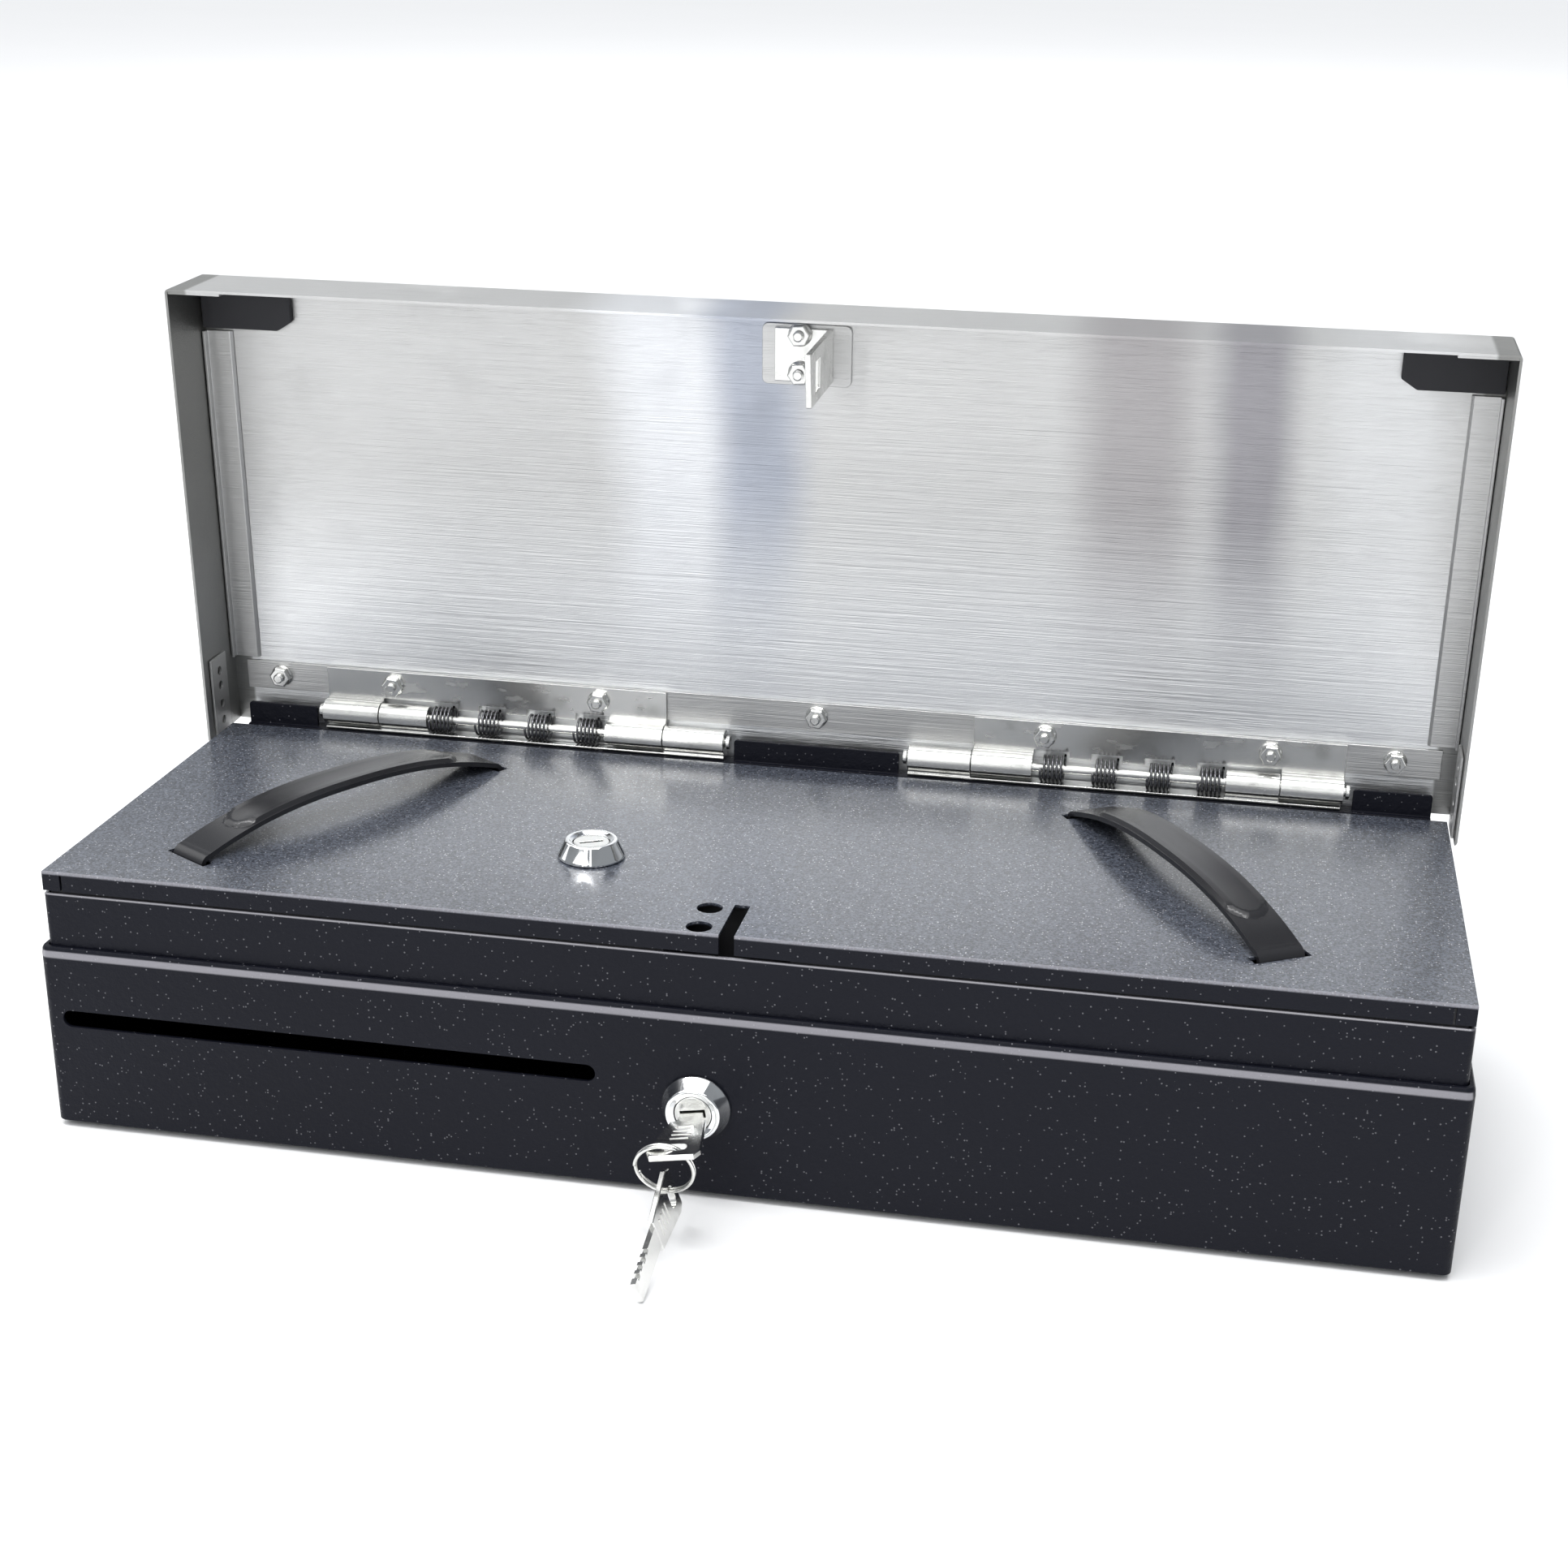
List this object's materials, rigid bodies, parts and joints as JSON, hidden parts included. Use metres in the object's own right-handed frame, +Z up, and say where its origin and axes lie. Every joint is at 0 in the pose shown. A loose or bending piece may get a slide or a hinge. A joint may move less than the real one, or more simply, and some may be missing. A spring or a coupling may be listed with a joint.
{
  "type": "cash drawer",
  "caption": "Low steel cash drawer with a sprung flip-up lid, a lift-out cash tray under a lockable cover, a media slot and a front key lock.",
  "frame": {"origin": "centre of the case's flat underside, as mount base", "axes": "+X along the case to the right seen from the front, -Y out of the front with the key lock, +Z up"},
  "size_m": [0.46, 0.2382, 0.2608],
  "materials": {
    "powder_coat": "black powder coat with a fine texture and small bright specks",
    "stainless": "stainless sheet brushed along its length",
    "zinc": "bright zinc plate",
    "spring_steel": "dark oiled spring steel",
    "chrome": "polished chrome plate",
    "nickel": "satin nickel plate",
    "strap_plastic": "glossy black flexible plastic",
    "rubber": "matt black rubber",
    "tray_plastic": "fine-grained black moulding",
    "solenoid_steel": "plain pressed steel"
  },
  "bodies": {
    "case": {"lower_case": "powder_coat", "upper_rim": "powder_coat", "rear_hinge_rail": "powder_coat", "cable_grommet": "rubber", "foot_1": "rubber", "foot_2": "rubber", "foot_3": "rubber", "foot_4": "rubber", "hinge_case_leaf_left": "zinc", "hinge_case_leaf_right": "zinc", "hinge_rod_left": "zinc", "hinge_rod_right": "zinc", "torsion_spring_left_1": "spring_steel", "torsion_spring_left_2": "spring_steel", "torsion_spring_left_3": "spring_steel", "torsion_spring_left_4": "spring_steel", "torsion_spring_right_1": "spring_steel", "torsion_spring_right_2": "spring_steel", "torsion_spring_right_3": "spring_steel", "torsion_spring_right_4": "spring_steel", "front_lock_housing": "chrome", "latch_bracket": "zinc", "solenoid_body": "solenoid_steel"},
    "lid": {"lid_skin": "stainless", "lid_hinge_strip": "stainless", "hinge_lid_leaf_left": "zinc", "hinge_lid_leaf_right": "zinc", "lid_side_frame_left": "stainless", "lid_side_frame_right": "stainless", "corner_pad_left": "rubber", "corner_pad_right": "rubber", "flange_plate_left": "stainless", "flange_plate_right": "stainless", "hinge_strip_nut_1": "zinc", "hinge_strip_nut_2": "zinc", "hinge_strip_nut_3": "zinc", "hinge_strip_nut_4": "zinc", "hinge_strip_nut_5": "zinc", "hinge_strip_nut_6": "zinc", "hinge_strip_nut_7": "zinc", "striker_base_plate": "stainless", "striker_bracket": "zinc", "striker_nut_1": "zinc", "striker_nut_2": "zinc"},
    "tray": {"cash_tray": "tray_plastic", "coin_cups": "tray_plastic", "tray_catch": "zinc"},
    "cover": {"tray_cover": "powder_coat", "strap_handle_left": "strap_plastic", "strap_handle_right": "strap_plastic", "tray_lock_housing": "chrome"},
    "tray_lock": {"tray_lock_cylinder": "nickel", "tray_lock_cam": "zinc"},
    "front_lock": {"front_lock_cylinder": "nickel", "front_lock_cam": "zinc", "front_key": "nickel"},
    "ring": {"key_ring": "nickel"},
    "spare": {"spare_key": "nickel"},
    "latch": {"latch_lever": "zinc"},
    "plunger": {"solenoid_plunger": "zinc"}
  },
  "joints": [
    {"name": "lid_hinge", "type": "hinge", "parent": "case", "child": "lid", "pos_m": [0, 0.0772, 0.0965], "axis": [-1, 0, 0], "range_deg": [-88, 0], "stiffness_Nm_per_rad": 1, "springref_deg": 28.65, "deforming": ["strap_handle_left", "strap_handle_right"]},
    {"name": "tray_lift", "type": "slide", "parent": "case", "child": "tray", "axis": [0, 0, 1], "range_m": [0, 0.06]},
    {"name": "cover_hinge", "type": "hinge", "parent": "tray", "child": "cover", "pos_m": [0, 0.0705, 0.09], "axis": [-1, 0, 0], "range_deg": [0, 60]},
    {"name": "tray_lock_turn", "type": "hinge", "parent": "cover", "child": "tray_lock", "pos_m": [-0.0568, -0.0286, 0.0904], "axis": [0, 0, 1], "range_deg": [0, 90]},
    {"name": "key_turn", "type": "hinge", "parent": "case", "child": "front_lock", "pos_m": [-0.0076, -0.085, 0.031], "axis": [0, -1, 0], "range_deg": [0, 90]},
    {"name": "ring_swing", "type": "hinge", "parent": "front_lock", "child": "ring", "pos_m": [-0.0062, -0.1142, 0.0313], "axis": [0, 0.976, 0.218], "range_deg": [0, 12]},
    {"name": "spare_key_swing", "type": "hinge", "parent": "ring", "child": "spare", "pos_m": [-0.0113, -0.1105, 0.0144], "axis": [1, 0, 0], "range_deg": [-8, 8]},
    {"name": "latch_swing", "type": "hinge", "parent": "case", "child": "latch", "pos_m": [-0.004, -0.066, 0.047], "axis": [0, -1, 0], "range_deg": [0, 12]},
    {"name": "plunger_slide", "type": "slide", "parent": "case", "child": "plunger", "axis": [1, 0, 0], "range_m": [0, 0.0045]}
  ],
  "couplings": [
    {"joint": "latch_swing", "follows": "key_turn", "ratio": 0.13333},
    {"joint": "plunger_slide", "follows": "key_turn", "m_per_rad": 0.0028648}
  ]
}
